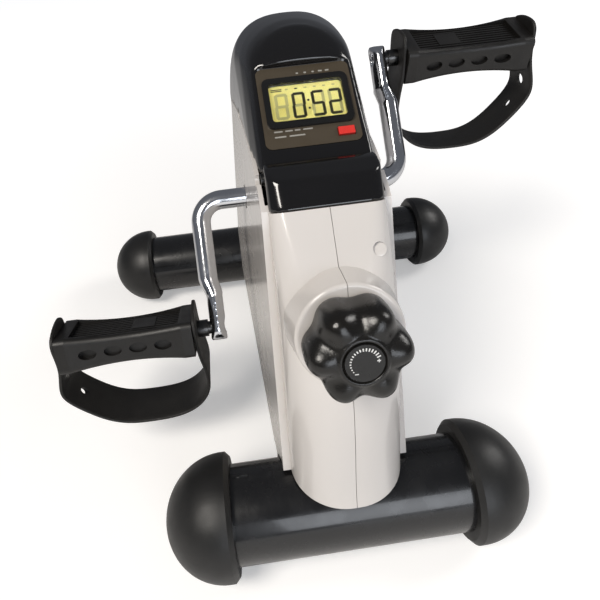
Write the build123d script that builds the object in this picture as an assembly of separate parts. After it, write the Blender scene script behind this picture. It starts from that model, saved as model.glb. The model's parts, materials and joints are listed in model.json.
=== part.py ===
from build123d import *
import math
import os

# Pedal exerciser. Millimetres, +Z up, +X to the user's right, the user sits on the -Y side.
# Origin: on the floor, midway between the two base tubes, on the plane of symmetry.

# ---- base -------------------------------------------------------------------
wheelbase = 296.0          # front tube axis to rear tube axis
tube_r = 30.0
tube_wall = 1.5
cap_r = 38.2               # rubber end caps
cap_axis_z = 37.4          # a little less than cap_r, so each cap stands on a small flat
cap_lip = 6.0              # straight band behind the dome
rim_round = 3.0
front_rim_x = 73.5         # inner rim of the front caps
rear_rim_x = 143.0
dome_depth = 38.0
socket_depth = 24.0        # how far a tube goes into its cap
fit_gap = 0.1              # radial gap of parts that are pushed together
press_gap = 0.02           # radial gap of parts that are pressed on
beam_w = 30.0
beam_h = 36.0
beam_wall = 2.0
far = 400.0                # longer than anything cut or drilled
saddle_t = 3.0
saddle_w = 60.0
bolt_r = 4.0
bolt_head_r = 6.5
bolt_head_h = 4.0
bolt_inset = 7.0           # bolt axis to the saddle's end
bolt_depth = 12.0          # how far a bolt reaches into its tube

# ---- shell ------------------------------------------------------------------
wall = 2.5
side_base_x = 41.45        # half width of the side walls: base + toe * y - draft * z
side_toe = 0.036
side_draft = 0.036
shell_low_z = 42.0         # bottom edge between the tubes
shell_floor_inset = 16.0   # that edge starts this far behind the tube axis
shell_rear_round = 13.0    # radius of the upright edges at the rear
wall_top_z = 290.0         # the side walls are drawn up to here, then cut on the parting line
shell_over_z = 70.0        # bottom edge above the tubes
flange_low_y = 4.0         # front edges of the side walls, y counted from the front tube
flange_top_y = 47.0
flange_top_z = 232.0
shell_rear_y = 300.0
shell_rear_top_y = 233.0
shell_rear_top_z = 234.0
tube_clear = 2.0
seam_gap = 0.15            # half the gap of the centre seam
nose_back = 14.0           # how far the nose reaches behind the flanges
nose_top_z = 250.0         # top of the nose before the parting line cuts it
chin_top_z = 254.0
# height, front y, half width and corner radius of the nose, from its foot to its top
nose_sections = [(70.0, -26.0, 34.2, 32.0), (115.0, -19.5, 33.4, 31.0), (165.0, -8.0, 32.2, 28.0),
                 (205.0, 15.0, 31.4, 18.0), (250.0, 50.0, 30.6, 8.0)]

# ---- knob boss --------------------------------------------------------------
knob_lean = 17.0           # the knob axis rises this much towards the user
boss_y = -7.0              # centre of the boss face, y counted from the front tube
boss_z = 187.5
boss_r = 27.5
boss_flare = 3.0
boss_depth = 22.0
screw_bush_r = 7.0
shell_screw_r = 1.6
screw_post_r = 4.5
# places of the screws through the shell: y from the front tube, z
shell_screw_places = [(52, 104), (104, 78), (205, 76), (252, 118), (217, 212)]
hood_screw_places = [(66.0, 240.8), (151.0, 248.5)]
head_sink = 6.0            # screw heads lie this deep in the side walls
nose_screw = (22.5, 24.0, 215.0)
nose_screw_lean = 43.0
screw_head_r = 3.4
screw_r = 4.0              # M8 tension screw
screw_pitch = 1.25
screw_len = 88.0
screw_in_knob = 14.0
knob_r = 25.5
knob_h = 25.0
knob_gap = 1.0             # knob to boss face
knob_lobes = 6
label_r = 9.0
label_t = 1.0
carriage_len = 14.0
carriage_w = 16.0
carriage_at = 66.0         # carriage centre behind the boss face at rest
carriage_travel = 5.0      # each way

# ---- hood -------------------------------------------------------------------
parting_gap = 0.15
hood_top_z = 310.0
hood_low_z = 205.0         # the hood's arches are drawn down to here, then cut on the parting line
hood_corner_r = 30.0
roof_crest_y = 142.0
roof_crown = 3.0           # rise of the roof across the hood
roof_over = 2.0            # the hood stands this far over the shell at the rear
fascia_low_y = 47.0        # plane of the fascia: low edge and high edge
fascia_low_z = 231.0
fascia_high_y = 139.0
fascia_drop = 5.5          # fascia's high edge below the hood's top
fascia_high_z = hood_top_z - fascia_drop
fascia_low_half_w = 30.5
fascia_half_w = 28.5       # where the arch begins
# depth behind the fascia, widening of the sides and rise of the arch there
fascia_flare = [(5.0, 2.6, 5.5), (14.0, 5.6, 14.0), (30.0, 8.5, 31.0), (150.0, 26.0, 190.0)]
lip_slope = 13.0           # fall of the chin's top towards the user

fascia_len = math.hypot(fascia_high_y - fascia_low_y, fascia_high_z - fascia_low_z)

# ---- console, measured along the fascia from its low edge -------------------
panel_len = 52.0
panel_top_clear = 29.755   # face left above the panel
panel_low = fascia_len - panel_top_clear - panel_len
panel_w = 54.0
panel_t = 1.2
bezel_w = 49.0
bezel_len = 32.0
bezel_low = 12.0           # above the panel's low edge
bezel_rise = 1.8
window_w = 42.0
window_len = 24.5
lens_t = 1.0
module_t = 2.4
board_t = 1.6
button_w = 9.0
button_len = 4.6
button_x = 18.5
button_low = 4.0
button_rise = 1.4
button_travel = 0.8
button_gap = 0.35

battery_r = 7.0
battery_len = 50.0

# ---- crank ------------------------------------------------------------------
crank_y = 146.0            # from the front tube
crank_z = 189.0
rod_r = 7.0
bend_r = 16.0
arm_x = 74.0
arm_len = 90.0
arm_down = 127.0           # left arm, degrees below the rear horizontal
flat_len = 34.0            # flattened end of the arm
flat_t = 8.0
flat_w = 19.0
run_gap = 0.05             # radial running clearance
housing_r = 18.0
housing_x0 = -28.0
housing_x1 = 2.0
bush_r = 14.0
bush_len = 9.0
bush_flange_r = 17.0
bush_flange_t = 2.0
collar_r = 12.0
collar_t = 3.5
upright_w = 22.0
upright_d = 36.0
wheel_r = 45.0
wheel_x0 = 12.0
wheel_w = 14.0
wheel_hub_r = 13.0
wheel_rim = 7.0
magnet_in = 12.0           # magnet axis to the wheel's rim
band_t = 1.6
band_gap = 0.4
sensor_gap = 3.0           # wheel face to the sensor on the right shell half

# ---- pedals -----------------------------------------------------------------
pedal_in_x = 88.0
pedal_len = 92.0
pedal_d = 38.0
pedal_h = 26.0
pedal_waist = 2.5
left_pitch = -17.0         # about +X, front edge up
right_pitch = 16.0
spindle_r = 4.5
pedal_bush_r = 7.0
pedal_bush_len = 12.0
nut_room = 7.5             # behind the outer bush, for the nut and the strap peg
rib_count = 9
rib_h = 0.8
strap_w = 32.0
strap_t = 2.2
strap_drop = 72.0          # spindle axis to the lowest point of the strap
strap_in = 3.8             # bulge past the pedal's inner end
strap_out = 8.0
peg_r = 3.0
peg_head_r = 4.6

y_front = -wheelbase / 2
parts = {}


def keep(name, shape):
    """Remember one named sub-part."""
    parts[name] = shape


def at(x, y_from_front, z):
    """Point given by its distance behind the front tube."""
    return Vector(x, y_front + y_from_front, z)


def yz_solid(points, half_x):
    """Closed outline in the YZ plane, y from the front tube, carried to both sides."""
    outline = Polyline(*[(y_front + y, z) for y, z in points], close=True)
    return extrude(Plane.YZ * make_face(outline), amount=half_x, both=True)


def rod_x(radius, x0, x1, y_from_front, z):
    """Round bar along X."""
    start = Plane(at(x0, y_from_front, z), x_dir=(0, 1, 0), z_dir=(1, 0, 0))
    return start * extrude(Circle(radius), amount=x1 - x0)


def mirrored(shape):
    return mirror(shape, about=Plane.YZ)


# ---- base tubes and caps ----------------------------------------------------
def make_tube(y_from_front, rim_x):
    half = rim_x + socket_depth
    outside = rod_x(tube_r, -half, half, y_from_front, cap_axis_z)
    return outside - rod_x(tube_r - tube_wall, -half - 1, half + 1, y_from_front, cap_axis_z)


def make_cap(y_from_front, rim_x):
    """Mushroom cap on the +X end: dome, short band and a rolled inner rim."""
    dome_x = cap_lip + dome_depth
    bore = tube_r + fit_gap
    half = math.sqrt(0.5)
    side = Polyline((socket_depth, 0), (socket_depth, bore), (0, bore), (0, cap_r - rim_round),
                    (rim_round, cap_r), (cap_lip, cap_r))
    dome = ThreePointArc((cap_lip, cap_r), (cap_lip + dome_depth * half, cap_r * half), (dome_x, 0))
    face = make_face(side + dome + Line((dome_x, 0), (socket_depth, 0)))
    cap = Pos(*at(rim_x, y_from_front, cap_axis_z)) * revolve(face, axis=Axis.X)
    under = Pos(rim_x, y_front + y_from_front, -cap_r) * Box(4 * dome_x, 4 * cap_r, 2 * cap_r)
    return cap - under


def make_base():
    for name, y, rim in (("front", 0.0, front_rim_x), ("rear", wheelbase, rear_rim_x)):
        keep(name + "_tube", make_tube(y, rim))
        cap = make_cap(y, rim)
        keep(name + "_right_cap", cap)
        keep(name + "_left_cap", mirrored(cap))
    box = Box(beam_w, wheelbase, beam_h)
    box -= Box(beam_w - 2 * beam_wall, wheelbase, beam_h - 2 * beam_wall)
    beam = Pos(*at(0, wheelbase / 2, cap_axis_z)) * box
    for y in (0.0, wheelbase):
        beam -= rod_x(tube_r + saddle_t + fit_gap, -beam_w, beam_w, y, cap_axis_z)
    keep("base_beam", beam)
    for name, y, side in (("front", 0.0, 1), ("rear", wheelbase, -1)):
        ring = rod_x(tube_r + saddle_t, -saddle_w / 2, saddle_w / 2, y, cap_axis_z)
        ring -= rod_x(tube_r + fit_gap, -saddle_w, saddle_w, y, cap_axis_z)
        rear_half = Pos(*at(0, y + side * (tube_r + saddle_t) / 2 + side * 4, cap_axis_z - 4)) * Box(
            saddle_w + 2, tube_r + saddle_t - 8, beam_h + 8)
        keep(name + "_saddle", ring & rear_half)
        reach = tube_r - bolt_depth
        bolts = []
        drill = Part()
        for x in (-saddle_w / 2 + bolt_inset, saddle_w / 2 - bolt_inset):
            base = Plane(at(x, y, cap_axis_z), x_dir=(1, 0, 0), z_dir=(0, side, 0))
            shank = base * Pos(0, 0, reach) * extrude(Circle(bolt_r), amount=bolt_depth + saddle_t)
            seat = base * Pos(0, 0, tube_r + saddle_t)
            head = seat * extrude(RegularPolygon(bolt_head_r, 6), amount=bolt_head_h)
            bolts.append(shank + head)
            drill += base * Pos(0, 0, reach) * extrude(Circle(bolt_r + fit_gap), amount=2 * bolt_depth)
        keep(name + "_saddle_bolts", Compound(children=bolts))
        parts[name + "_saddle"] -= drill
        parts[name + "_tube"] -= drill


# ---- shell ------------------------------------------------------------------
def flange_y(z):
    slope = (flange_top_y - flange_low_y) / (flange_top_z - shell_over_z)
    return flange_low_y + (z - shell_over_z) * slope


def side_slab(inset):
    """The space between the two leaning side walls."""
    big = 2 * wheelbase
    slab = Box(2 * big, big, big)
    base = side_base_x + side_toe * wheelbase / 2
    for side in (1, -1):
        normal = Vector(side, -side_toe, side_draft).normalized()
        plane = Plane(Vector(side * (base - inset), 0, 0), z_dir=normal)
        slab = split(slab, bisect_by=plane, keep=Keep.BOTTOM)
    return slab


def nose(inset, z_low, z_high):
    """U-shaped front of the shell, deep at the foot and nearly flat at the top."""
    rings = []
    for z, y, half, corner in nose_sections:
        front = y_front + y + inset
        back = y_front + flange_y(z) + nose_back
        w = half - inset
        r = corner - inset
        a = r * (1 - math.sqrt(0.5))
        path = Line((-w, back), (-w, front + r))
        path += ThreePointArc((-w, front + r), (-w + a, front + a), (-w + r, front))
        path += Line((-w + r, front), (w - r, front))
        path += ThreePointArc((w - r, front), (w - a, front + a), (w, front + r))
        path += Line((w, front + r), (w, back))
        path += Line((w, back), (-w, back))
        rings.append(Pos(0, 0, z) * make_face(path))
    body = loft(rings)
    depth = wheelbase
    return body & (Pos(0, y_front, (z_low + z_high) / 2) * Box(depth, 2 * depth, z_high - z_low))


def shell_outline(inset):
    """Side view of the shell up to the top of the hood."""
    front = flange_low_y + inset
    foot = shell_floor_inset + inset
    return [(front, shell_over_z), (flange_y(wall_top_z) + inset, wall_top_z),
            (shell_rear_top_y - inset, wall_top_z), (shell_rear_top_y - inset, shell_rear_top_z),
            (shell_rear_y - inset, shell_over_z), (wheelbase - foot, shell_over_z),
            (wheelbase - foot, shell_low_z), (foot, shell_low_z), (foot, shell_over_z)]


def shell_body(inset):
    body = yz_solid(shell_outline(inset), wheelbase) & side_slab(inset)
    rear = [e for e in body.edges() if e.center().Y > y_front + shell_rear_top_y - wall - 1
            and e.center().Z > shell_over_z and abs(e.tangent_at(0.5).X) < 0.5]
    body = fillet(rear, shell_rear_round - inset)
    for y in (0.0, wheelbase):
        body -= rod_x(tube_r + tube_clear + inset, -wheelbase, wheelbase, y, cap_axis_z)
    return body + nose(inset, shell_over_z + inset, nose_top_z)


def parting_points():
    """Line in side view where the hood meets the shell."""
    return [(fascia_low_y - 40, 250.0), (fascia_low_y - 1, fascia_low_z), (58, 238), (82, 245.5),
            (116, 249.5), (151, 248.5), (195, 242), (shell_rear_top_y + 1, shell_rear_top_z)]


def below_parting(lift):
    """Everything under the parting line; lift moves the line up or down."""
    pts = [(y_front + y, z + lift) for y, z in parting_points()]
    top = Line((pts[0]), (pts[1])) + Spline(*pts[1:])
    rest = Polyline(pts[-1], (pts[-1][0] + 200, pts[-1][1]), (pts[-1][0] + 200, 0), (pts[0][0] - 60, 0),
                    (pts[0][0] - 60, pts[0][1] + 28), pts[0])
    return extrude(Plane.YZ * make_face(top + rest), amount=wheelbase, both=True)


def knob_plane(behind):
    """Plane across the knob axis; behind is counted inward from the boss face."""
    lean = math.radians(knob_lean)
    out = Vector(0, -math.cos(lean), math.sin(lean))
    return Plane(at(0, boss_y, boss_z) - out * behind, x_dir=(1, 0, 0), z_dir=out)


def side_x(y_from_front, z):
    """Half width of the shell's outside at a height and depth."""
    return side_base_x + side_toe * y_from_front - side_draft * z


def drive_space():
    """Room cut in the shell floor and ends for the beam and its saddles."""
    top = cap_axis_z + tube_r - 4
    return Pos(*at(0, wheelbase / 2, top / 2)) * Box(saddle_w + 6, wheelbase, top)


def make_shell():
    outer = shell_body(0)
    inner = shell_body(wall)
    floor_len = wheelbase - 2 * (tube_r + tube_clear + wall)
    open_floor = Pos(*at(0, wheelbase / 2, shell_low_z)) * Box(2 * side_base_x, floor_len, 2 * wall + 1)
    flare = math.degrees(math.atan2(boss_flare, boss_depth))
    boss = knob_plane(boss_depth) * extrude(Circle(boss_r + boss_flare), amount=boss_depth, taper=flare)
    boss = fillet(boss.edges().sort_by(Axis.Y)[0], 2.0)
    core = knob_plane(boss_depth + 4) * extrude(Circle(boss_r - 1.5 * wall), amount=boss_depth + 4 - wall)
    shell = (outer + boss) - inner - core - open_floor - drive_space()
    shell &= below_parting(0)
    shell -= knob_plane(boss_depth + 2) * extrude(Circle(screw_bush_r + fit_gap), amount=boss_depth + 4)
    shell -= rod_x(rod_r + 2.0, -2 * side_base_x, 2 * side_base_x, crank_y, crank_z)
    head_room_r = screw_head_r + 0.4
    for y, z in shell_screw_places:
        edge = side_x(y, z)
        shell += rod_x(screw_post_r, 1 - edge, edge - 1, y, z)
        shell -= rod_x(shell_screw_r + fit_gap, -head_sink, edge, y, z)
        shell -= rod_x(head_room_r, edge - head_sink, edge + head_sink, y, z)
    for y, z in hood_screw_places:
        shell -= rod_x(head_room_r, -far, far, y, z)
    dimple = nose_screw_plane()
    shell += dimple * Pos(0, 0, -7) * extrude(Circle(5.5), amount=6) & outer
    shell -= dimple * Pos(0, 0, -4) * extrude(Circle(head_room_r), amount=12)
    shell -= dimple * Pos(0, 0, -9) * extrude(Circle(shell_screw_r + fit_gap), amount=12)
    return shell


def nose_screw_plane():
    """Plane on the sloping top of the nose where one screw shows."""
    lean = math.radians(nose_screw_lean)
    return Plane(at(*nose_screw), x_dir=(1, 0, 0), z_dir=(0, -math.cos(lean), math.sin(lean)))


def make_screw(head_r, shank_r, shank_len):
    """Pan head screw pointing down -Z, head seat at z = 0, with a cross slot."""
    screw = extrude(Circle(head_r), amount=2.0) + Pos(0, 0, -shank_len) * Cylinder(
        shank_r, shank_len, align=(Align.CENTER, Align.CENTER, Align.MIN))
    for turn in (0, 90):
        screw -= Pos(0, 0, 1.6) * Rot(0, 0, turn) * Box(head_r * 1.2, 0.8, 1.2)
    return screw


def make_shell_halves():
    shell = make_shell()
    size = wheelbase * 3
    for name, side in (("left_shell", -1), ("right_shell", 1)):
        half = Pos(side * (size / 2 + seam_gap), 0, 0) * Box(size, size, size)
        keep(name, shell & half)
    screws = []
    for y, z in shell_screw_places:
        seat = Plane(at(side_x(y, z) - head_sink, y, z), x_dir=(0, 1, 0), z_dir=(1, 0, 0))
        screws.append(seat * make_screw(screw_head_r, shell_screw_r, side_x(y, z) - 1))
    screws.append(nose_screw_plane() * Pos(0, 0, -4) * make_screw(screw_head_r, shell_screw_r, 4.5))
    keep("shell_screws", Compound(children=screws))


# ---- hood -------------------------------------------------------------------
def fascia_angle():
    return math.atan2(fascia_high_z - fascia_low_z, fascia_high_y - fascia_low_y)


def fascia_plane(along=0.0, lift=0.0):
    """Plane of the fascia: local x across, y up the slope, z out of it."""
    a = fascia_angle()
    base = at(0, fascia_low_y, fascia_low_z)
    up = Vector(0, math.cos(a), math.sin(a))
    out = Vector(0, -math.sin(a), math.cos(a))
    return Plane(base + up * along + out * lift, x_dir=(1, 0, 0), z_dir=out)


def roof_z(y_from_front):
    """Height of the roof line; behind its crest it falls as a quarter ellipse."""
    if y_from_front <= roof_crest_y:
        return hood_top_z
    reach = (y_from_front - roof_crest_y) / (shell_rear_top_y + roof_over - roof_crest_y)
    return shell_rear_top_z + (hood_top_z - shell_rear_top_z) * math.sqrt(1 - reach ** 2)


def hood_section(y_from_front, inset):
    """Arch across the hood at one depth."""
    high = roof_z(y_from_front) - inset
    w_low = side_x(y_from_front, hood_low_z) - inset
    w_high = side_x(y_from_front, high) - inset
    shoulder = high - roof_crown
    outline = Polyline((-w_high, shoulder), (-w_low, hood_low_z), (w_low, hood_low_z), (w_high, shoulder))
    outline += ThreePointArc((w_high, shoulder), (0, high), (-w_high, shoulder))
    arch = make_face(outline)
    arch = fillet(arch.vertices().group_by(Axis.Y)[-1], min(hood_corner_r, w_high - 1) - inset)
    return Plane(Vector(0, y_front + y_from_front, 0), x_dir=(-1, 0, 0), z_dir=(0, 1, 0)) * arch


def fascia_outline(side_grow, top_grow):
    """Tombstone outline of the fascia, a little narrower towards its arch."""
    low_w = fascia_low_half_w + side_grow
    w = fascia_half_w + side_grow
    top = fascia_len - fascia_half_w + top_grow
    low = -2 * fascia_half_w
    path = Polyline((-w, top), (-low_w, 0), (-low_w, low), (low_w, low), (low_w, 0), (w, top))
    path += ThreePointArc((w, top), (0, top + w), (-w, top))
    return make_face(path)


def hood_body(inset):
    last = shell_rear_top_y + roof_over - 0.2 - inset
    stations = [20.0, 80.0, roof_crest_y, 160.0, 180.0, 200.0, 215.0, 226.0, last]
    body = loft([hood_section(y, inset) for y in stations])
    body = split(body, bisect_by=fascia_plane(0, -inset), keep=Keep.BOTTOM)
    rings = [fascia_plane(0, -inset) * fascia_outline(-inset, 0)]
    for depth, side_grow, top_grow in fascia_flare:
        rings.append(fascia_plane(0, -depth - inset) * fascia_outline(side_grow - inset, top_grow))
    flare = loft(rings, ruled=True)
    return (body & flare) + chin(inset)


def chin(inset):
    """Lower lip of the hood, on the nose's outline, with a gently falling top."""
    block = nose(inset, hood_low_z, chin_top_z)
    low = fascia_plane(panel_low, -inset).origin
    tilt = math.radians(lip_slope)
    lip_up = (0, -math.sin(tilt), math.cos(tilt))
    top = Plane(low - Vector(0, 0, inset * 0.3), x_dir=(1, 0, 0), z_dir=lip_up)
    return split(block, bisect_by=top, keep=Keep.BOTTOM)


def rear_corners():
    """Upright block whose rounded rear corners trim the hood to the shell below it."""
    half = side_x(shell_rear_top_y, shell_rear_top_z)
    rear = y_front + shell_rear_top_y + roof_over
    block = Pos(0, rear - wheelbase / 2, hood_top_z) * Box(2 * half, wheelbase, hood_top_z)
    edges = [e for e in block.edges().filter_by(Axis.Z) if e.center().Y > 0]
    return fillet(edges, shell_rear_round + roof_over)


def make_hood():
    hood = (hood_body(0) - hood_body(wall)) & rear_corners()
    hood -= below_parting(parting_gap)
    pocket = fascia_plane(panel_low + panel_len / 2, -panel_t)
    hood -= pocket * extrude(RectangleRounded(panel_w + 2 * fit_gap, panel_len + 2 * fit_gap, 4), amount=8)
    window = fascia_plane(window_along(), -6)
    hood -= window * extrude(RectangleRounded(window_w, window_len, 2), amount=8)
    button_space = Rectangle(button_w + 2 * button_gap, button_len + 2 * button_gap)
    hood -= button_plane(-6) * extrude(button_space, amount=8)
    scoop_base = fascia_plane(panel_low, 0).origin + Vector(0, -13.5, 0.2)
    hood -= Pos(*scoop_base) * Rot(lip_slope, 0, 0) * scale(Sphere(1), by=(27, 10.5, 3.2))
    for y, z in hood_screw_places:
        hood -= rod_x(screw_head_r + 0.4, -far, far, y, z)
    keep("console_hood", hood)
    screws = []
    for y, z in hood_screw_places:
        for side in (-1, 1):
            seat = Plane(at(side * (side_x(y, z) - 5), y, z), x_dir=(0, 1, 0), z_dir=(side, 0, 0))
            screws.append(seat * make_screw(screw_head_r, shell_screw_r, 8))
    keep("hood_screws", Compound(children=screws))


def window_along():
    return panel_low + bezel_low + bezel_len / 2


def button_plane(lift):
    plane = fascia_plane(panel_low + button_low + button_len / 2, lift)
    return Plane(plane.origin + Vector(button_x, 0, 0), x_dir=(1, 0, 0), z_dir=plane.z_dir)


def make_console():
    panel = fascia_plane(panel_low + panel_len / 2, -panel_t) * extrude(
        RectangleRounded(panel_w, panel_len, 4), amount=panel_t)
    lens_space = fascia_plane(window_along(), -4) * extrude(
        RectangleRounded(window_w + 3, window_len + 3, 2), amount=8)
    button_space = button_plane(-4) * extrude(
        Rectangle(button_w + 2 * button_gap, button_len + 2 * button_gap), amount=8)
    keep("console_panel", panel - lens_space - button_space)
    ring = RectangleRounded(bezel_w, bezel_len, 4) - RectangleRounded(window_w, window_len, 2)
    bezel = fascia_plane(window_along(), 0) * extrude(ring, amount=bezel_rise)
    keep("lcd_bezel", bezel)
    keep("lcd_lens", fascia_plane(window_along(), -panel_t) * extrude(
        RectangleRounded(window_w + 2.6, window_len + 2.6, 2), amount=lens_t))
    keep("lcd_module", fascia_plane(window_along(), -wall - module_t) * extrude(
        Rectangle(window_w + 4, window_len + 4), amount=module_t))
    board_low = -wall - module_t - board_t
    keep("circuit_board", fascia_plane(panel_low + panel_len / 2 - 4, board_low) * extrude(
        Rectangle(panel_w - 6, panel_len + 2), amount=board_t))
    cap = Rectangle(button_w, button_len)
    button = button_plane(-wall - 1.0) * extrude(cap, amount=wall + 1.0 + button_rise)
    button += button_plane(-wall - 1.0) * extrude(Rectangle(button_w + 2.4, button_len + 2.4), amount=0.9)
    keep("mode_button", button)
    pad_t = module_t - 1.0 - button_travel - 0.1
    keep("button_pad", button_plane(-wall - module_t) * extrude(Rectangle(6, 4), amount=pad_t))
    tray = fascia_plane(panel_low + panel_len / 2, board_low - battery_r * 2 - 1.5)
    deep = 2 * battery_r
    holder = tray * extrude(Rectangle(battery_len + 5, deep + 4), amount=deep + 1.5)
    space = tray * Pos(0, 0, -1) * extrude(Rectangle(battery_len + 0.4, deep + 0.6), amount=deep + 1.0)
    keep("battery_holder", holder - space)
    lying = Rot(0, 90, 0) * extrude(Circle(battery_r), amount=battery_len)
    keep("battery", tray * Pos(-battery_len / 2, 0, battery_r - 0.2) * lying)


# ---- knob and brake ---------------------------------------------------------
def make_knob():
    base = knob_plane(-knob_gap)
    disc = extrude(Circle(knob_r), amount=knob_h)
    disc = fillet(disc.edges().group_by(Axis.Z)[-1], 6.0)
    disc = chamfer(disc.edges().group_by(Axis.Z)[0], 1.0)
    for i in range(knob_lobes):
        turn = Rot(0, 0, 30 + i * 360 / knob_lobes)
        disc -= turn * Pos(knob_r + 6.0, 0, -1) * extrude(Circle(9.5), amount=knob_h + 2)
        disc -= turn * Pos(knob_r + 0.0, 0, knob_h + 8) * Rot(0, -35, 0) * Cylinder(9.5, 60)
    disc -= Pos(0, 0, knob_h - 1.2) * extrude(Circle(label_r + 2.4) - Circle(label_r + 1.2), amount=4)
    disc -= Pos(0, 0, knob_h - label_t) * extrude(Circle(label_r + fit_gap), amount=4)
    disc -= Pos(0, 0, -1) * extrude(Circle(screw_r + press_gap), amount=1 + screw_in_knob)
    keep("tension_knob", base * disc)
    keep("knob_label", base * Pos(0, 0, knob_h - label_t) * extrude(Circle(label_r), amount=label_t))
    screw = knob_plane(screw_len) * extrude(Circle(screw_r), amount=screw_len + knob_gap + screw_in_knob)
    keep("tension_screw", screw)
    clip = knob_plane(wall + 4.2) * extrude(Circle(screw_r + 3) - Circle(screw_r + press_gap), amount=1.0)
    keep("screw_clip", clip)
    bush = knob_plane(wall) * extrude(Circle(screw_bush_r), amount=wall + 0.7)
    bush += knob_plane(wall + 2) * extrude(Circle(screw_bush_r + 2.5), amount=2)
    bush -= knob_plane(wall + 4) * extrude(Circle(screw_r + run_gap), amount=2 * wall + 8)
    keep("screw_bush", bush)


def carriage_frame():
    """Local z runs inward along the screw, x to the right, y up."""
    p = knob_plane(carriage_at)
    return Plane(p.origin, x_dir=(1, 0, 0), z_dir=p.z_dir)


def make_brake():
    frame = carriage_frame()
    ear_x = wheel_x0 + wheel_w
    block = Box(carriage_w, carriage_w, carriage_len)
    ear = Pos((ear_x + carriage_w / 2 - 1) / 2, 0, 0) * Box(ear_x - carriage_w / 2 + 1, 9, carriage_len)
    slot = Pos(wheel_x0 + wheel_w / 2, 0, 0) * Box(wheel_w + 1, band_t + 0.7, carriage_len + 2)
    carriage = block + ear - slot - Cylinder(screw_r + run_gap, carriage_len + 2)
    keep("tension_carriage", frame * carriage)
    drop = carriage_w / 2 + 0.3
    rail_len = 78.0
    rail = Pos(-drop / 2 + 1, -drop - 1, 0) * Box(carriage_w + 2, 2, rail_len)
    rail += Pos(-drop - 1, -2, 0) * Box(2, carriage_w + 2, rail_len)
    rail = frame * Pos(0, 0, -rail_len / 2 + carriage_len) * rail
    upright_face = at(0, crank_y - upright_d / 2, 0).Y
    rail -= Pos(0, upright_face + 50, crank_z) * Box(200, 100, 200)
    keep("tension_guide", rail)
    inner = wheel_r + band_gap
    mid = inner + band_t / 2
    lean = math.radians(knob_lean)
    center = at(0, crank_y, crank_z)
    ring = rod_x(inner + band_t, wheel_x0 + 1, wheel_x0 + wheel_w - 1, crank_y, crank_z)
    ring -= rod_x(inner, 0, 2 * wheel_x0 + wheel_w, crank_y, crank_z)
    low = Vector(0, -math.sin(lean), -math.cos(lean))
    ahead = Vector(0, -math.cos(lean), math.sin(lean))
    reach = 3 * wheel_r
    tangent = low * reach
    gap = [(crank_y, crank_z), (crank_y, crank_z + reach), (crank_y - reach, crank_z + reach),
           (crank_y - reach, crank_z + tangent.Z), (crank_y + tangent.Y, crank_z + tangent.Z)]
    band = ring - yz_solid(gap, wheelbase)
    tail_len = abs((center - carriage_frame().origin).dot(ahead)) + carriage_len
    tail_mid = center + low * mid + ahead * (tail_len / 2)
    tail = Plane(tail_mid + Vector(wheel_x0 + wheel_w / 2, 0, 0), x_dir=(1, 0, 0), z_dir=ahead) * Box(
        wheel_w - 2, band_t, tail_len)
    band += tail
    tab_z = crank_z + inner + 0.2
    band += Pos(*at(wheel_x0 + wheel_w / 2, crank_y + 3, tab_z + 2.5)) * Box(wheel_w - 2, 6, 5)
    keep("brake_band", band)
    arm_z = tab_z + 5
    post_x = housing_x1 - 5
    post = Pos(*at(post_x, crank_y + 3, (crank_z + arm_z) / 2)) * Box(10, 8, arm_z - crank_z)
    post += Pos(*at((post_x - 5 + wheel_x0 + wheel_w) / 2, crank_y + 3, arm_z + 1.5)) * Box(
        wheel_x0 + wheel_w - post_x + 5, 8, 3)
    post -= rod_x(housing_r + fit_gap / 2, -far, far, crank_y, crank_z)
    keep("band_anchor", post)


# ---- crank ------------------------------------------------------------------
def arm_direction():
    """Direction of the left arm in the YZ plane."""
    a = math.radians(-arm_down)
    return Vector(0, math.cos(a), math.sin(a))


def make_crankshaft():
    axle = at(0, crank_y, crank_z)
    d = arm_direction()
    x = Vector(1, 0, 0)
    ends = [axle - x * arm_x + d * (arm_len - flat_len), axle - x * arm_x, axle + x * arm_x,
            axle + x * arm_x - d * (arm_len - flat_len)]
    path = FilletPolyline(*ends, radius=bend_r)
    shaft = sweep(Plane(ends[0], z_dir=-d) * Circle(rod_r), path=path)
    for side in (-1, 1):
        out = d * -side
        taper = 12.0
        start = Plane(axle + x * side * arm_x + out * (arm_len - flat_len), x_dir=(1, 0, 0), z_dir=out)
        neck = loft([start * Circle(rod_r), start * Pos(0, 0, taper) * Ellipse(flat_t / 2, flat_w / 2)])
        bar = start * Pos(0, 0, taper) * extrude(Ellipse(flat_t / 2, flat_w / 2), amount=flat_len)
        tip = Plane(axle + x * side * arm_x + out * arm_len, x_dir=(0, 1, 0), z_dir=(1, 0, 0))
        round_end = tip * Cylinder(flat_w / 2, 3 * flat_t)
        slab_box = Box(3 * flat_t, 2 * flat_w, flat_len - taper + 2)
        slab = start * Pos(0, 0, (flat_len + taper) / 2 - 1) * slab_box
        shaft += neck + (bar & (round_end + slab))
        shaft -= tip * Cylinder(spindle_r + press_gap, 3 * flat_t)
    keep("crankshaft", shaft)


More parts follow.
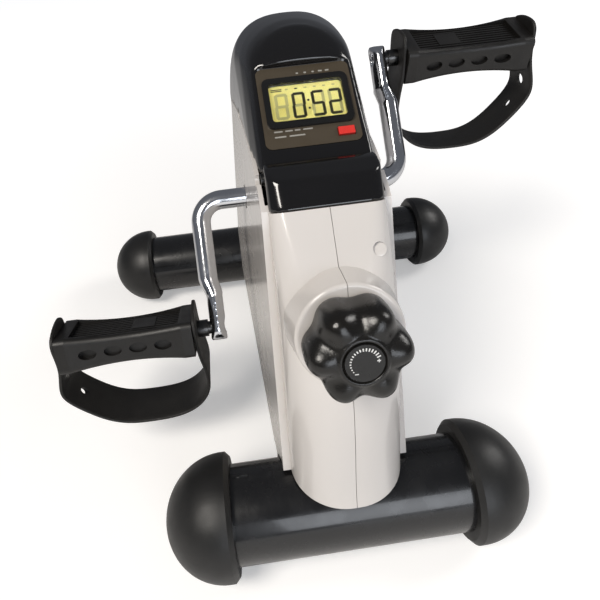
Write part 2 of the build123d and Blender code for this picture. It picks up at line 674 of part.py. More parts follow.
def make_drive():
    housing = rod_x(housing_r, housing_x0, housing_x1, crank_y, crank_z)
    housing -= rod_x(bush_r + fit_gap / 2, housing_x0 - 1, housing_x1 + 1, crank_y, crank_z)
    keep("bearing_housing", housing)
    for name, x, side in (("left", housing_x0, -1), ("right", housing_x1, 1)):
        inner_x = x - side * bush_len
        bush = rod_x(bush_r, min(x, inner_x), max(x, inner_x), crank_y, crank_z)
        flange_end = x + side * bush_flange_t
        bush += rod_x(bush_flange_r, min(x, flange_end), max(x, flange_end), crank_y, crank_z)
        bush -= rod_x(rod_r + run_gap, -far, far, crank_y, crank_z)
        keep(name + "_crank_bush", bush)
    low = housing_x0 - bush_flange_t - 0.3
    shaft_room = rod_x(rod_r + press_gap, -far, far, crank_y, crank_z)
    keep("crank_collar", rod_x(collar_r, low - collar_t, low, crank_y, crank_z) - shaft_room)
    hub_x0 = housing_x1 + bush_flange_t + 0.3
    wheel = rod_x(wheel_r, wheel_x0, wheel_x0 + wheel_w, crank_y, crank_z)
    for x0, x1 in ((wheel_x0 - 1, wheel_x0 + 4), (wheel_x0 + wheel_w - 4, wheel_x0 + wheel_w + 1)):
        groove = rod_x(wheel_r - wheel_rim, x0, x1, crank_y, crank_z)
        wheel -= groove - rod_x(wheel_hub_r + 2, x0, x1, crank_y, crank_z)
    wheel += rod_x(wheel_hub_r, hub_x0, wheel_x0 + wheel_w, crank_y, crank_z)
    wheel -= shaft_room
    magnet_y = crank_y + wheel_r - magnet_in
    magnet = rod_x(4.0, wheel_x0 + wheel_w - 4, wheel_x0 + wheel_w + 0.6, magnet_y, crank_z)
    keep("friction_wheel", wheel)
    keep("wheel_magnet", magnet)
    beam_top = cap_axis_z + beam_h / 2
    mid_x = (housing_x0 + housing_x1) / 2
    height = crank_z - beam_top
    upright = Box(upright_w, upright_d, height) - Box(upright_w - 4, upright_d - 4, height + 2)
    upright = Pos(*at(mid_x, crank_y, beam_top + height / 2)) * upright
    keep("upright", upright - rod_x(housing_r + press_gap, -far, far, crank_y, crank_z))
    sensor_x = wheel_x0 + wheel_w + sensor_gap
    bracket = Pos(*at(sensor_x + side_base_x / 2, magnet_y, crank_z)) * Box(side_base_x, 8, 20)
    keep("speed_sensor", bracket & side_slab(wall))


# ---- pedals -----------------------------------------------------------------
def pedal_frame(side):
    """Frame of one pedal: on the spindle axis at the pedal's inner end, x outward, z up."""
    d = arm_direction()
    center = at(side * pedal_in_x, crank_y, crank_z) + d * (-side * arm_len)
    return center


def make_pedal(side, name, pitch):
    center = pedal_frame(side)
    length = pedal_len

    def along(x0, x1, sketch):
        return Plane((x0, 0, 0), x_dir=(0, 1, 0), z_dir=(1, 0, 0)) * extrude(sketch, amount=x1 - x0)

    end_t = 7.0
    full = RectangleRounded(pedal_d, pedal_h, 4)
    slim = RectangleRounded(pedal_d - 2 * pedal_waist, pedal_h - 2 * pedal_waist, 4)
    rings = []
    for x, sketch in ((end_t, full), (length / 2, slim), (length - end_t, full)):
        rings.append(Plane((x, 0, 0), x_dir=(0, 1, 0), z_dir=(1, 0, 0)) * sketch)
    body = loft(rings) + along(0, end_t, full) + along(length - end_t, length, full)
    tread_len = length - 2 * end_t - 4
    tread_d = pedal_d - 2 * pedal_waist - 6
    for up in (1, -1):
        face_z = up * (pedal_h / 2)
        floor_z = up * (pedal_h / 2 - pedal_waist - 1.2)
        body -= Pos(length / 2, 0, (face_z + floor_z) / 2) * Box(tread_len, tread_d, abs(face_z - floor_z))
        pitch_y = tread_d / rib_count
        for i in range(rib_count):
            y = (i - (rib_count - 1) / 2) * pitch_y
            body += Pos(length / 2, y, floor_z - up * 0.2) * Box(tread_len, pitch_y / 2, 2 * rib_h + 0.4)
        body += Pos(length / 2 - 12, 0, floor_z - up * 0.2) * Box(16, tread_d * 0.55, 2 * rib_h + 1.0)
    for i in range(4):
        x = length / 2 + (i - 1.5) * 17
        for face in (1, -1):
            hole = Plane((x, face * (pedal_d / 2 + 2), 0), x_dir=(1, 0, 0), z_dir=(0, -face, 0))
            body -= hole * extrude(Ellipse(6.0, 3.6), amount=2 + pedal_waist + 2.4)
    body -= along(-1, length + 1, Circle(spindle_r + 1.5))
    outer_bush_x = length - nut_room - pedal_bush_len
    body -= along(-1, pedal_bush_len, Circle(pedal_bush_r + run_gap))
    body -= along(outer_bush_x, length + 1, Circle(pedal_bush_r + run_gap))
    turn = Rot(pitch, 0, 0)

    def place(shape):
        shape = shape if side > 0 else mirrored(shape)
        return Pos(*center) * shape

    keep(name + "_pedal", place(turn * body))
    for label, x0 in (("inner", 0.0), ("outer", outer_bush_x)):
        bush = along(x0, x0 + pedal_bush_len, Circle(pedal_bush_r) - Circle(spindle_r + run_gap))
        keep(name + "_" + label + "_bush", place(bush))
    arm_out = arm_x + flat_t / 2 - pedal_in_x
    arm_in = arm_x - flat_t / 2 - pedal_in_x
    spindle = along(arm_in - 1, length - nut_room + 4, Circle(spindle_r))
    spindle += along(arm_in - 3.5, arm_in, Circle(7.5))
    spindle += along(arm_out, -0.4, Circle(6.0))
    keep(name + "_spindle", place(spindle))
    nut_ring = Circle(pedal_bush_r - 0.6) - Circle(spindle_r + press_gap)
    nut = along(length - nut_room + 0.3, length - nut_room + 4.3, nut_ring)
    keep(name + "_spindle_nut", place(nut))
    make_strap(side, name, place, length, along)


def make_strap(side, name, place, length, along):
    """Foot loop: one band down from each end of the pedal and round below."""
    inner_x = -0.4 - strap_t / 2
    outer_x = length + 0.3 + strap_t / 2
    tip_z = pedal_h / 2 + 7
    low_z = -strap_drop + strap_t / 2
    route = [(inner_x, tip_z), (inner_x, -10), (inner_x - strap_in, -26), (inner_x - strap_in + 1, -50),
             (length * 0.2, low_z), (length * 0.74, low_z), (outer_x + strap_out, -36), (outer_x, -10),
             (outer_x, tip_z)]
    path = Plane.XZ * FilletPolyline(*route, radius=[14, 26, 22, 30, 26, 22, 16])
    start = Plane((inner_x, 0, tip_z), x_dir=(1, 0, 0), z_dir=(0, 0, -1))
    band = sweep(start * Rectangle(strap_t, strap_w), path=path)
    band -= along(-20, 5, Circle(6.6))
    band -= along(length - 5, length + 20, Circle(peg_r + 0.3))
    free_hole = Pos(outer_x + 4, 0, -34) * Rot(0, 90, 0) * Cylinder(4.0, 24)
    band -= free_hole
    keep(name + "_strap", place(band))
    peg = along(length - 2, length, Circle(pedal_bush_r))
    peg += along(length, length + strap_t + 0.8, Circle(peg_r)) + along(
        length + strap_t + 0.8, length + strap_t + 2.6, Circle(peg_head_r))
    keep(name + "_strap_peg", place(peg))


make_base()
make_shell_halves()
make_hood()
make_console()
make_knob()
make_brake()
make_crankshaft()
make_drive()
make_pedal(-1, "left", left_pitch)
make_pedal(1, "right", right_pitch)

os.makedirs("parts", exist_ok=True)
for part_name, part_shape in parts.items():
    export_step(part_shape, "parts/" + part_name + ".step")
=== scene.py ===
import bpy
import math
from mathutils import Matrix, Vector
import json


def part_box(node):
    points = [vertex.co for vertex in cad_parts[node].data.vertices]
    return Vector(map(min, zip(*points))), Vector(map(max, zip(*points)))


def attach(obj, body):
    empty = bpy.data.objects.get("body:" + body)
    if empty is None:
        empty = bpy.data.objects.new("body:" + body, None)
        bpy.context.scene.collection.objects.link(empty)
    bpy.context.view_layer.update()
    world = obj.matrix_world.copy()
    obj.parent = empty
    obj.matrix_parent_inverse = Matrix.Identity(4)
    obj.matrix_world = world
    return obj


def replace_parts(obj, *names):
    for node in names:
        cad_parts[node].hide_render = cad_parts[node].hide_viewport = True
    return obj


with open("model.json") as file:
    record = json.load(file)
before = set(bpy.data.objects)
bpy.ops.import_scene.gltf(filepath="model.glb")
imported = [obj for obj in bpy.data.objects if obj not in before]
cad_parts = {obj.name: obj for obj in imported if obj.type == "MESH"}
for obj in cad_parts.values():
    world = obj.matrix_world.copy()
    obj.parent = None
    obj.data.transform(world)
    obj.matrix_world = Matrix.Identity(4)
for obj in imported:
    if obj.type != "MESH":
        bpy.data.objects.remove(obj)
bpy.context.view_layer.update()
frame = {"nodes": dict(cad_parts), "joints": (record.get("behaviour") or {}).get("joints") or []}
nodes = frame["nodes"]
across = Vector((1.0, 0.0, 0.0))
mergeGap = 0.000002
print("frame loaded with", len(nodes), "parts")


def freeSelection():
    if bpy.context.object and bpy.context.object.mode != "OBJECT":
        bpy.ops.object.mode_set(mode="OBJECT")
    bpy.ops.object.select_all(action="DESELECT")


freeSelection()


# in a look, tone is two colours mixed by a soft cloud, rough is two values that smudges mix,
# and grain is the bump's scale and its height in metres
def makeFinish(name, look):
    mat = bpy.data.materials.new(name)
    mat.use_nodes = True
    tree = mat.node_tree
    shader = tree.nodes["Principled BSDF"]
    shader.inputs["Metallic"].default_value = look.get("metal", 0.0)
    shader.inputs["IOR"].default_value = look.get("ior", 1.47)
    shader.inputs["Coat Weight"].default_value = look.get("coat", 0.0)
    shader.inputs["Coat Roughness"].default_value = look.get("coatRough", 0.06)
    coords = tree.nodes.new("ShaderNodeTexCoord")
    cloud = tree.nodes.new("ShaderNodeTexNoise")
    cloud.inputs["Scale"].default_value = look.get("cloud", 18.0)
    cloud.inputs["Detail"].default_value = 4.0
    tree.links.new(coords.outputs["Object"], cloud.inputs["Vector"])
    tone = tree.nodes.new("ShaderNodeMix")
    tone.data_type = "RGBA"
    tone.inputs["A"].default_value = (*look["tone"][0], 1.0)
    tone.inputs["B"].default_value = (*look["tone"][1], 1.0)
    tree.links.new(cloud.outputs["Fac"], tone.inputs["Factor"])
    tree.links.new(tone.outputs["Result"], shader.inputs["Base Color"])
    wear = tree.nodes.new("ShaderNodeMapRange")
    wear.inputs["From Min"].default_value = 0.35
    wear.inputs["From Max"].default_value = 0.65
    wear.inputs["To Min"].default_value = look["rough"][0]
    wear.inputs["To Max"].default_value = look["rough"][1]
    smudge = tree.nodes.new("ShaderNodeTexNoise")
    smudge.inputs["Scale"].default_value = look.get("smudge", 55.0)
    smudge.inputs["Detail"].default_value = 3.0
    tree.links.new(coords.outputs["Object"], smudge.inputs["Vector"])
    tree.links.new(smudge.outputs["Fac"], wear.inputs["Value"])
    tree.links.new(wear.outputs["Result"], shader.inputs["Roughness"])
    grainScale, grainHeight = look["grain"]
    grain = tree.nodes.new("ShaderNodeTexNoise")
    grain.inputs["Scale"].default_value = grainScale
    grain.inputs["Detail"].default_value = 2.0
    tree.links.new(coords.outputs["Object"], grain.inputs["Vector"])
    bump = tree.nodes.new("ShaderNodeBump")
    bump.inputs["Strength"].default_value = look.get("bump", 0.35)
    bump.inputs["Distance"].default_value = grainHeight
    tree.links.new(grain.outputs["Fac"], bump.inputs["Height"])
    tree.links.new(bump.outputs["Normal"], shader.inputs["Normal"])
    return mat


def wearFinish(material, *names):
    for name in names:
        slots = nodes[name].data.materials
        slots.clear()
        slots.append(material)


whiteShell = makeFinish("whiteShell", {"tone": [(0.56, 0.53, 0.50), (0.60, 0.57, 0.55)],
                                       "rough": [0.17, 0.21],
                                       "coat": 0.3, "grain": (60.0, 0.0001), "bump": 0.04, "cloud": 9.0})
hoodBlack = makeFinish("hoodBlack", {"tone": [(0.0035, 0.0035, 0.004), (0.006, 0.0055, 0.0055)],
                                     "rough": [0.09, 0.15],
                                     "coat": 0.4, "grain": (260.0, 0.0003), "bump": 0.06})
panelBrown = makeFinish("panelBrown", {"tone": [(0.042, 0.032, 0.020), (0.054, 0.042, 0.027)],
                                       "rough": [0.34, 0.44], "grain": (1800.0, 0.0002), "bump": 0.25})
bezelBlack = makeFinish("bezelBlack", {"tone": [(0.005, 0.005, 0.005), (0.009, 0.009, 0.009)],
                                       "rough": [0.16, 0.26], "grain": (900.0, 0.0001), "bump": 0.10})
displayGreen = makeFinish("displayGreen", {"tone": [(0.80, 0.74, 0.30), (0.86, 0.80, 0.36)],
                                           "rough": [0.30, 0.38], "grain": (2500.0, 0.0001), "bump": 0.08})
buttonRed = makeFinish("buttonRed", {"tone": [(0.50, 0.022, 0.018), (0.62, 0.035, 0.026)],
                                     "rough": [0.30, 0.40], "grain": (1500.0, 0.0001), "bump": 0.15})
tubeBlack = makeFinish("tubeBlack", {"tone": [(0.004, 0.004, 0.0045), (0.008, 0.008, 0.0085)],
                                     "rough": [0.20, 0.32],
                                     "coat": 0.35, "grain": (420.0, 0.0003), "bump": 0.10})
capRubber = makeFinish("capRubber", {"tone": [(0.006, 0.006, 0.006), (0.011, 0.0105, 0.010)],
                                     "rough": [0.38, 0.50], "grain": (1400.0, 0.0002), "bump": 0.25})
chromeRod = makeFinish("chromeRod", {"tone": [(0.62, 0.64, 0.68), (0.72, 0.73, 0.75)],
                                     "rough": [0.09, 0.17],
                                     "metal": 1.0, "grain": (160.0, 0.0003), "bump": 0.05})
zincSteel = makeFinish("zincSteel", {"tone": [(0.42, 0.42, 0.42), (0.56, 0.56, 0.55)],
                                     "rough": [0.28, 0.42],
                                     "metal": 1.0, "grain": (900.0, 0.0002), "bump": 0.2})
darkSteel = makeFinish("darkSteel", {"tone": [(0.05, 0.05, 0.05), (0.09, 0.09, 0.09)],
                                     "rough": [0.24, 0.36],
                                     "metal": 1.0, "grain": (900.0, 0.0002), "bump": 0.15})
bronzeBush = makeFinish("bronzeBush", {"tone": [(0.42, 0.25, 0.09), (0.52, 0.33, 0.13)],
                                       "rough": [0.3, 0.42],
                                       "metal": 1.0, "grain": (900.0, 0.0001), "bump": 0.2})
pedalBlack = makeFinish("pedalBlack", {"tone": [(0.0045, 0.004, 0.0035), (0.009, 0.008, 0.007)],
                                       "rough": [0.34, 0.50], "grain": (1700.0, 0.0003), "bump": 0.35})
strapBlack = makeFinish("strapBlack", {"tone": [(0.005, 0.0045, 0.004), (0.009, 0.008, 0.007)],
                                       "rough": [0.48, 0.62], "grain": (1500.0, 0.0004), "bump": 0.4})
knobBlack = makeFinish("knobBlack", {"tone": [(0.005, 0.0045, 0.004), (0.009, 0.008, 0.0065)],
                                     "rough": [0.20, 0.30], "grain": (1300.0, 0.0003), "bump": 0.3})
nylonWhite = makeFinish("nylonWhite", {"tone": [(0.62, 0.61, 0.58), (0.70, 0.69, 0.66)],
                                       "rough": [0.4, 0.5],
                                       "grain": (900.0, 0.0002), "bump": 0.2})
frameBlack = makeFinish("frameBlack", {"tone": [(0.012, 0.012, 0.013), (0.022, 0.022, 0.023)],
                                       "rough": [0.35, 0.5], "grain": (700.0, 0.0003), "bump": 0.25})
wheelIron = makeFinish("wheelIron", {"tone": [(0.20, 0.20, 0.20), (0.32, 0.31, 0.30)], "rough": [0.3, 0.5],
                                     "metal": 1.0, "grain": (500.0, 0.0004), "bump": 0.3})
boardGreen = makeFinish("boardGreen", {"tone": [(0.02, 0.12, 0.04), (0.03, 0.16, 0.06)],
                                       "rough": [0.3, 0.4],
                                       "grain": (900.0, 0.0001), "bump": 0.15})
feltGrey = makeFinish("feltGrey", {"tone": [(0.10, 0.095, 0.09), (0.17, 0.16, 0.15)], "rough": [0.85, 0.95],
                                   "grain": (2200.0, 0.0006), "bump": 0.6})
clearWindow = makeFinish("clearWindow", {"tone": [(0.93, 0.94, 0.90), (0.97, 0.97, 0.94)],
                                         "rough": [0.03, 0.06],
                                         "grain": (90.0, 0.0002), "bump": 0.03})
clearWindow.node_tree.nodes["Principled BSDF"].inputs["Transmission Weight"].default_value = 1.0
clearWindow.node_tree.nodes["Principled BSDF"].inputs["IOR"].default_value = 1.2

wearFinish(whiteShell, "left_shell", "right_shell")
wearFinish(hoodBlack, "console_hood")
wearFinish(panelBrown, "console_panel")
wearFinish(bezelBlack, "lcd_bezel")
wearFinish(displayGreen, "lcd_module")
wearFinish(clearWindow, "lcd_lens")
wearFinish(buttonRed, "mode_button")
wearFinish(tubeBlack, "front_tube", "rear_tube")
wearFinish(capRubber, "front_left_cap", "front_right_cap", "rear_left_cap", "rear_right_cap")
wearFinish(chromeRod, "crankshaft")
wearFinish(darkSteel, "hood_screws", "left_spindle", "right_spindle")
wearFinish(zincSteel, "shell_screws", "front_saddle_bolts", "rear_saddle_bolts", "crank_collar",
           "tension_screw", "screw_clip", "wheel_magnet", "battery",
           "left_spindle_nut", "right_spindle_nut")
wearFinish(bronzeBush, "left_crank_bush", "right_crank_bush")
wearFinish(pedalBlack, "left_pedal", "right_pedal", "left_strap_peg", "right_strap_peg")
wearFinish(strapBlack, "left_strap", "right_strap")
wearFinish(knobBlack, "tension_knob", "knob_label", "battery_holder")
wearFinish(nylonWhite, "screw_bush", "tension_carriage", "button_pad",
           "left_inner_bush", "left_outer_bush", "right_inner_bush", "right_outer_bush")
wearFinish(frameBlack, "base_beam", "front_saddle", "rear_saddle", "upright", "tension_guide",
           "band_anchor", "bearing_housing")
wearFinish(wheelIron, "friction_wheel")
wearFinish(boardGreen, "circuit_board", "speed_sensor")
wearFinish(feltGrey, "brake_band")
for name, part in nodes.items():
    part.select_set(True)
    bpy.context.view_layer.objects.active = part
    bpy.ops.object.shade_smooth_by_angle(angle=math.radians(32))
freeSelection()
print("finishes put on")


# helpers for modelling, barRounding is a bar's edge as a share of its narrow side
def openEdit(piece):
    freeSelection()
    piece.select_set(True)
    bpy.context.view_layer.objects.active = piece
    bpy.ops.object.mode_set(mode="EDIT")
    bpy.ops.mesh.select_mode(type="VERT")


def pick(piece, test):
    bpy.ops.mesh.select_all(action="DESELECT")
    bpy.ops.object.mode_set(mode="OBJECT")
    for vert in piece.data.vertices:
        vert.select = test(vert.co)
    bpy.ops.object.mode_set(mode="EDIT")


def useModifiers(piece):
    freeSelection()
    piece.select_set(True)
    bpy.context.view_layer.objects.active = piece
    for modifier in list(piece.modifiers):
        bpy.ops.object.modifier_apply(modifier=modifier.name)


def settle(piece, material, body, angle=40.0):
    useModifiers(piece)
    bpy.ops.object.transform_apply(location=True, rotation=True, scale=True)
    bpy.ops.object.shade_smooth_by_angle(angle=math.radians(angle))
    piece.data.materials.clear()
    piece.data.materials.append(material)
    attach(piece, body)
    freeSelection()
    return piece


def copyNode(source, name):
    piece = bpy.data.objects.new(name, nodes[source].data.copy())
    bpy.context.scene.collection.objects.link(piece)
    openEdit(piece)
    bpy.ops.mesh.select_all(action="SELECT")
    bpy.ops.mesh.remove_doubles(threshold=mergeGap)
    bpy.ops.object.mode_set(mode="OBJECT")
    return piece


def placeOn(out, spot):
    place = Matrix((across, out.cross(across), out)).transposed().to_4x4()
    place.translation = spot
    return place


def jointNamed(name):
    return next(joint for joint in frame["joints"] if joint["name"] == name)


def addRemesh(piece, voxel):
    grid = piece.modifiers.new("grid", "REMESH")
    grid.mode = "VOXEL"
    grid.voxel_size = voxel


def addSmooth(piece, rounds, group=""):
    smooth = piece.modifiers.new("soft", "SMOOTH")
    smooth.factor = 0.5
    smooth.iterations = rounds
    smooth.vertex_group = group


def addSubdivision(piece, levels):
    sub = piece.modifiers.new("soften", "SUBSURF")
    sub.levels = levels
    sub.render_levels = levels


def addSolidify(piece, thickness, offset=0.0):
    wallMod = piece.modifiers.new("wall", "SOLIDIFY")
    wallMod.thickness = thickness
    wallMod.offset = offset


def addBevel(piece, width, segments=2, angle=35.0):
    edge = piece.modifiers.new("edge", "BEVEL")
    edge.width = width
    edge.segments = segments
    edge.limit_method = "ANGLE"
    edge.angle_limit = math.radians(angle)


def cutWith(piece, cutter):
    cut = piece.modifiers.new("cut", "BOOLEAN")
    cut.operation = "DIFFERENCE"
    cut.solver = "EXACT"
    cut.object = cutter
    useModifiers(piece)
    bpy.data.objects.remove(cutter)


barRounding = 0.2


def flatBar(name, size, turn, place):
    bpy.ops.mesh.primitive_cube_add(size=1.0)
    bar = bpy.context.object
    bar.name = name
    bar.scale = [length / 1000 for length in size]
    bpy.ops.object.transform_apply(location=False, rotation=False, scale=True)
    addBevel(bar, min(size[:2]) / 1000 * barRounding, 2)
    useModifiers(bar)
    bar.matrix_world = place @ Matrix.Rotation(turn, 4, "Z")
    bpy.ops.object.transform_apply(location=True, rotation=True, scale=True)
    return bar


def joinAll(name, bars):
    freeSelection()
    for bar in bars:
        bar.select_set(True)
    bpy.context.view_layer.objects.active = bars[0]
    bpy.ops.object.join()
    bars[0].name = name
    return bars[0]


# route gives the band's way as distance out from the pedal's inner end and height over the spindle,
# holes give the same two and a radius, all in millimetres
strap = {"route": [(-1.5, 20.0), (-1.5, 7.0), (-1.6, -8.0), (-3.4, -20.0), (-5.1, -32.0), (-4.6, -45.0),
                   (1.0, -57.0), (11.5, -66.3), (26.0, -70.7), (44.0, -71.2), (60.0, -70.4), (74.0, -64.0),
                   (86.5, -52.0), (96.5, -40.0), (99.9, -31.0), (96.8, -19.0), (93.5, -7.0), (93.4, 7.0),
                   (93.4, 20.0)],
         "width": 32.0, "thick": 2.2, "pedalStart": 88.0, "rounding": 0.6, "pickGap": 0.0003,
         "holes": [(97.5, -27.0, 4.2), (91.0, -46.0, 2.6)], "holeReach": 20.0}


def makeStrap(side, name):
    low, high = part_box(name + "_spindle_nut")
    axisY, axisZ = (low.y + high.y) / 2, (low.z + high.z) / 2

    def place(out, height):
        return Vector((side * (strap["pedalStart"] + out) / 1000, axisY, axisZ + height / 1000))

    route = [place(*point) for point in strap["route"]]
    width = strap["width"] / 1000
    step = (route[1] - route[0]) / 2
    bpy.ops.mesh.primitive_plane_add(size=1.0, location=route[0] + step,
                                     rotation=(math.pi / 2, 0.0, math.pi / 2))
    piece = bpy.context.object
    piece.name = name + "_foot_strap"
    piece.scale = (width, (route[1] - route[0]).length, 1.0)
    bpy.ops.object.transform_apply(location=True, rotation=True, scale=True)
    openEdit(piece)
    front = route[1]
    for following in route[2:]:
        pick(piece, lambda co: max(abs(co.x - front.x), abs(co.z - front.z)) < strap["pickGap"])
        bpy.ops.mesh.extrude_edges_move(TRANSFORM_OT_translate={"value": following - front})
        front = following
    bpy.ops.object.mode_set(mode="OBJECT")
    addSubdivision(piece, 3)
    addSolidify(piece, strap["thick"] / 1000)
    addBevel(piece, strap["rounding"] / 1000, 2)
    useModifiers(piece)
    for out, height, radius in strap["holes"]:
        bpy.ops.mesh.primitive_cylinder_add(vertices=32, radius=radius / 1000, location=place(out, height),
                                            depth=strap["holeReach"] / 1000,
                                            rotation=(0.0, math.pi / 2, 0.0))
        cutWith(piece, bpy.context.object)
    return piece


for side, name in ((-1, "left"), (1, "right")):
    piece = makeStrap(side, name)
    settle(piece, strapBlack, name + "_pedal", 50.0)
    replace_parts(piece, name + "_strap")
print("foot straps done")

# the hood is the moulded one remeshed, with a low dome above the panel and soft shoulders, in metres
hood = {"voxel": 0.0011, "allRounds": 4, "shoulderRounds": 26, "brow": (0.0268, 0.0285, 0.0042),
        "browGap": 0.0008, "panelDepth": 0.004, "panelBelow": 0.002, "panelAbove": 0.001,
        "panelOver": 0.0002, "edgeHigh": 0.026, "rearEdgeHigh": 0.038, "rearFrom": 0.05}
fasciaOut = -Vector(jointNamed("button_press")["axis"]).normalized()
fasciaUp = fasciaOut.cross(across)
panelVerts = [vert.co for vert in nodes["console_panel"].data.vertices]
panelTop = max(co.dot(fasciaUp) for co in panelVerts)
panelLow = min(co.dot(fasciaUp) for co in panelVerts)
panelFace = max(co.dot(fasciaOut) for co in panelVerts)


def makeBrow():
    bpy.ops.mesh.primitive_uv_sphere_add(segments=64, ring_count=32, radius=1.0)
    brow = bpy.context.object
    brow.scale = hood["brow"]
    bpy.ops.object.transform_apply(location=False, rotation=False, scale=True)
    openEdit(brow)
    bpy.ops.mesh.select_all(action="SELECT")
    bpy.ops.mesh.bisect(plane_co=(0, 0, 0), plane_no=(0, 1, 0), use_fill=True, clear_inner=True)
    bpy.ops.object.mode_set(mode="OBJECT")
    brow.matrix_world = placeOn(fasciaOut, fasciaUp * (panelTop + hood["browGap"]) + fasciaOut * panelFace)
    freeSelection()
    brow.select_set(True)
    bpy.context.view_layer.objects.active = brow
    bpy.ops.object.transform_apply(location=True, rotation=True, scale=True)
    return brow


def makeHood():
    piece = joinAll("moulded_hood", [copyNode("console_hood", "moulded_hood"), makeBrow()])
    addRemesh(piece, hood["voxel"])
    useModifiers(piece)
    low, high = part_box("console_hood")
    shoulders = piece.vertex_groups.new(name="shoulders")
    for vert in piece.data.vertices:
        up, out = vert.co.dot(fasciaUp), vert.co.dot(fasciaOut)
        atPanel = panelLow - hood["panelBelow"] < up < panelTop + hood["panelAbove"]
        besidePanel = atPanel and out > panelFace - hood["panelDepth"]
        edgeHigh = hood["rearEdgeHigh"] if vert.co.y > low.y + hood["rearFrom"] else hood["edgeHigh"]
        if not besidePanel and vert.co.z > low.z + edgeHigh and out < panelFace + hood["panelOver"]:
            shoulders.add([vert.index], 1.0, "REPLACE")
    addSmooth(piece, hood["allRounds"])
    addSmooth(piece, hood["shoulderRounds"], "shoulders")
    return settle(piece, hoodBlack, "base", 75.0)


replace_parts(makeHood(), "console_hood")
print("console hood done")

# the crank's flattened ends grow thicker in steps along each arm, and the spindle heads are made
# thinner and smaller, in metres
crank = {"voxel": 0.0009, "rounds": 8, "flatLength": 0.034, "rampStep": 0.002, "widen": 1.075, "steps": 5,
         "armFrom": 0.04}
spindle = {"headShift": 0.0024, "headShare": 0.72, "headThick": 0.0045, "shankMax": 0.0070,
           "faceGap": 0.0004, "rounding": 0.0005}
crankAxis = Vector(jointNamed("crank_spin")["pos_m"])


def makeCrank():
    piece = copyNode("crankshaft", "bent_crank")
    addRemesh(piece, crank["voxel"])
    useModifiers(piece)
    openEdit(piece)

    def fromAxis(co):
        return math.hypot(co.y - crankAxis.y, co.z - crankAxis.z)

    reach = max(fromAxis(vert.co) for vert in piece.data.vertices)
    for side in (-1, 1):
        outer = max(side * vert.co.x for vert in piece.data.vertices)
        for step in range(crank["steps"]):
            begin = reach - crank["flatLength"] - step * crank["rampStep"]
            pick(piece, lambda co: co.x * side > crank["armFrom"] and fromAxis(co) > begin)
            bpy.ops.transform.resize(value=(crank["widen"], 1.0, 1.0), center_override=(side * outer, 0, 0))
    bpy.ops.object.mode_set(mode="OBJECT")
    addSmooth(piece, crank["rounds"])
    return settle(piece, chromeRod, "crankset", 70.0)


def makeSpindle(side, name):
    piece = copyNode(name + "_spindle", name + "_pedal_spindle")
    low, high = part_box(name + "_spindle")
    middle = (low + high) / 2
    face = low.x if side > 0 else high.x
    share = spindle["headShare"]

    def inHead(co):
        wide = math.hypot(co.y - middle.y, co.z - middle.z) > spindle["shankMax"]
        return wide and abs(co.x - face) < spindle["headThick"]

    openEdit(piece)
    pick(piece, inHead)
    bpy.ops.transform.resize(value=(1.0, share, share), center_override=middle)
    pick(piece, lambda co: abs(co.x - face) < spindle["faceGap"])
    bpy.ops.transform.translate(value=(side * spindle["headShift"], 0, 0))
    bpy.ops.object.mode_set(mode="OBJECT")
    addBevel(piece, spindle["rounding"], 2)
    return settle(piece, darkSteel, name + "_pedal", 50.0)


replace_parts(makeCrank(), "crankshaft")
for side, name in ((-1, "left"), (1, "right")):
    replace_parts(makeSpindle(side, name), name + "_spindle")
print("crank and spindles done")

# plug over the nose screw: place is the middle of the screw's dimple and lean is how far it faces up,
# in millimetres and degrees
plug = {"place": (22.5, -124.0, 215.0), "lean": 43.0, "radius": 3.75, "thick": 1.2, "deep": 0.6,
        "rounding": 0.3}


def makePlug():
    lean = math.radians(plug["lean"])
    out = Vector((0.0, -math.cos(lean), math.sin(lean)))
    bpy.ops.mesh.primitive_cylinder_add(vertices=48, radius=plug["radius"] / 1000,
                                        depth=plug["thick"] / 1000)
    piece = bpy.context.object
    piece.name = "nose_plug"
    addBevel(piece, plug["rounding"] / 1000, 2)
    useModifiers(piece)
    depth = (plug["deep"] + plug["thick"] / 2) / 1000
    piece.matrix_world = placeOn(out, Vector(plug["place"]) / 1000 - out * depth)
    return settle(piece, whiteShell, "base", 40.0)


makePlug()
print("plug done")

# each ring of the knob gives its radius on a lobe and in a scoop, then its height over the knob's back
# on a lobe and in a scoop, in millimetres
knob = {"lobes": 6, "steps": 8, "gap": 0.001, "scoopPower": 1.4, "topHole": 9.8,
        "rings": [(24.4, 21.4, 0.0, 0.0), (25.3, 22.0, 1.2, 1.2), (25.5, 22.2, 10.0, 9.4),
                  (25.2, 21.8, 17.0, 15.0), (23.8, 20.6, 21.6, 17.8), (21.0, 18.6, 24.0, 19.8),
                  (17.4, 16.0, 24.8, 21.4), (14.0, 13.6, 24.7, 23.0),
                  (12.1, 12.0, 24.3, 23.9), (11.5, 11.5, 24.9, 24.9), (10.4, 10.4, 25.0, 25.0),
                  (9.9, 9.9, 24.5, 24.5), (9.7, 9.7, 23.5, 23.5)]}
knobJoint = jointNamed("knob_turn")
knobOut = Vector(knobJoint["axis"]).normalized()
knobPlace = placeOn(knobOut, Vector(knobJoint["pos_m"]) + knobOut * knob["gap"])


